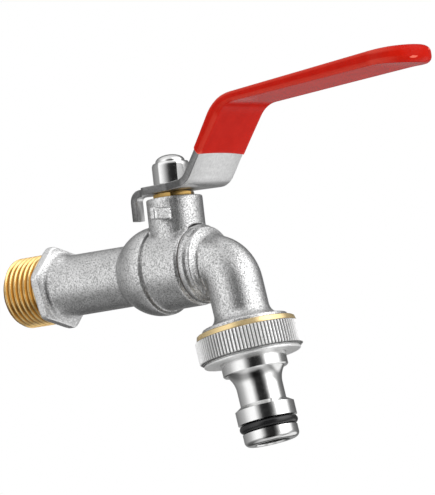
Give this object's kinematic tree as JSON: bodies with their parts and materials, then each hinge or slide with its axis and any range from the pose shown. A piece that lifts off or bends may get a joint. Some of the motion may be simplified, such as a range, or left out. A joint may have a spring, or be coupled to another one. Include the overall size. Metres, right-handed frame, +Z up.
{
  "type": "hose bib",
  "caption": "Lever ball tap: threaded inlet with a hex flange, elbow spout, knurled union nut and a quick-connect hose plug.",
  "frame": {"origin": "on the inlet axis, in the plane of the inlet thread's shoulder", "axes": "+X along the inlet axis, away from the wall and towards the spout; +Z up the valve stem; the lever points along +X when open"},
  "size_m": [0.1529, 0.03, 0.1034],
  "materials": {
    "nickel_casting": "satin",
    "bright_nickel": "satin",
    "polished_plate": "polished",
    "bare_brass": "satin",
    "lever_steel": "satin",
    "red_vinyl": "gloss",
    "ptfe": "matte",
    "black_rubber": "satin",
    "fibre": "matte"
  },
  "bodies": {
    "valve": {"valve_body": "nickel_casting", "spout": "nickel_casting", "spout_gasket": "fibre", "inlet_seat": "ptfe", "outlet_seat": "ptfe", "thrust_washer": "ptfe", "stem_packing": "ptfe", "packing_follower": "bare_brass", "gland_nut": "bare_brass"},
    "handle": {"ball": "polished_plate", "stem": "bare_brass", "stem_o_ring": "black_rubber", "lever_plate": "lever_steel", "lever_sleeve": "red_vinyl", "cap_nut": "polished_plate"},
    "plug": {"hose_tail": "polished_plate", "tail_o_ring": "black_rubber", "tail_gasket": "black_rubber"},
    "nut": {"union_nut": "bright_nickel"}
  },
  "joints": [
    {"name": "handle_turn", "type": "hinge", "parent": "valve", "child": "handle", "pos_m": [0.0477, 0, 0], "axis": [0, 0, 1], "range_deg": [0, 90]},
    {"name": "plug_drop", "type": "slide", "parent": "valve", "child": "plug", "axis": [0.1513, 0, -0.9885], "range_m": [0, 0.00408]},
    {"name": "union_nut_spin", "type": "hinge", "parent": "plug", "child": "nut", "pos_m": [0.0683, 0, -0.0208], "axis": [0.1513, 0, -0.9885], "range_deg": [0, 810]}
  ],
  "couplings": [
    {"joint": "union_nut_spin", "follows": "plug_drop", "rad_per_m": 3463.7}
  ]
}
